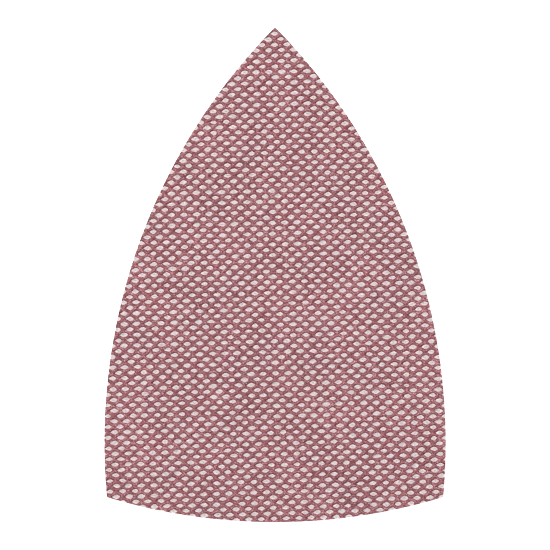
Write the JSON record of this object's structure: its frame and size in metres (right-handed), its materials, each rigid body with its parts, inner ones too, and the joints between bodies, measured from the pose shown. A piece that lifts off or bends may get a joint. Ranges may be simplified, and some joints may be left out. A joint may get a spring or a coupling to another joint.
{
  "type": "net abrasive sheet for a detail sander",
  "caption": "Three-sided net abrasive sheet for a detail sander: a knitted open mesh with grain bonded to its front and small loops on its back.",
  "frame": {"origin": "centre of the sheet's bounding box, on the plane that the loops rest on", "axes": "+Y towards the sharp tip, +Z out of the abrasive face, +X to the right when looking at the abrasive face with the tip up"},
  "size_m": [0.105, 0.152, 0.0014],
  "materials": {
    "pile_yarn": "matte",
    "ground_yarn": "matte",
    "resin": "satin",
    "abrasive": "rough"
  },
  "bodies": {
    "root": {"loop_pile": "pile_yarn", "inlay_yarns": "ground_yarn", "chain_yarns": "ground_yarn", "resin_coat": "resin", "grain_coat": "abrasive"}
  },
  "joints": []
}
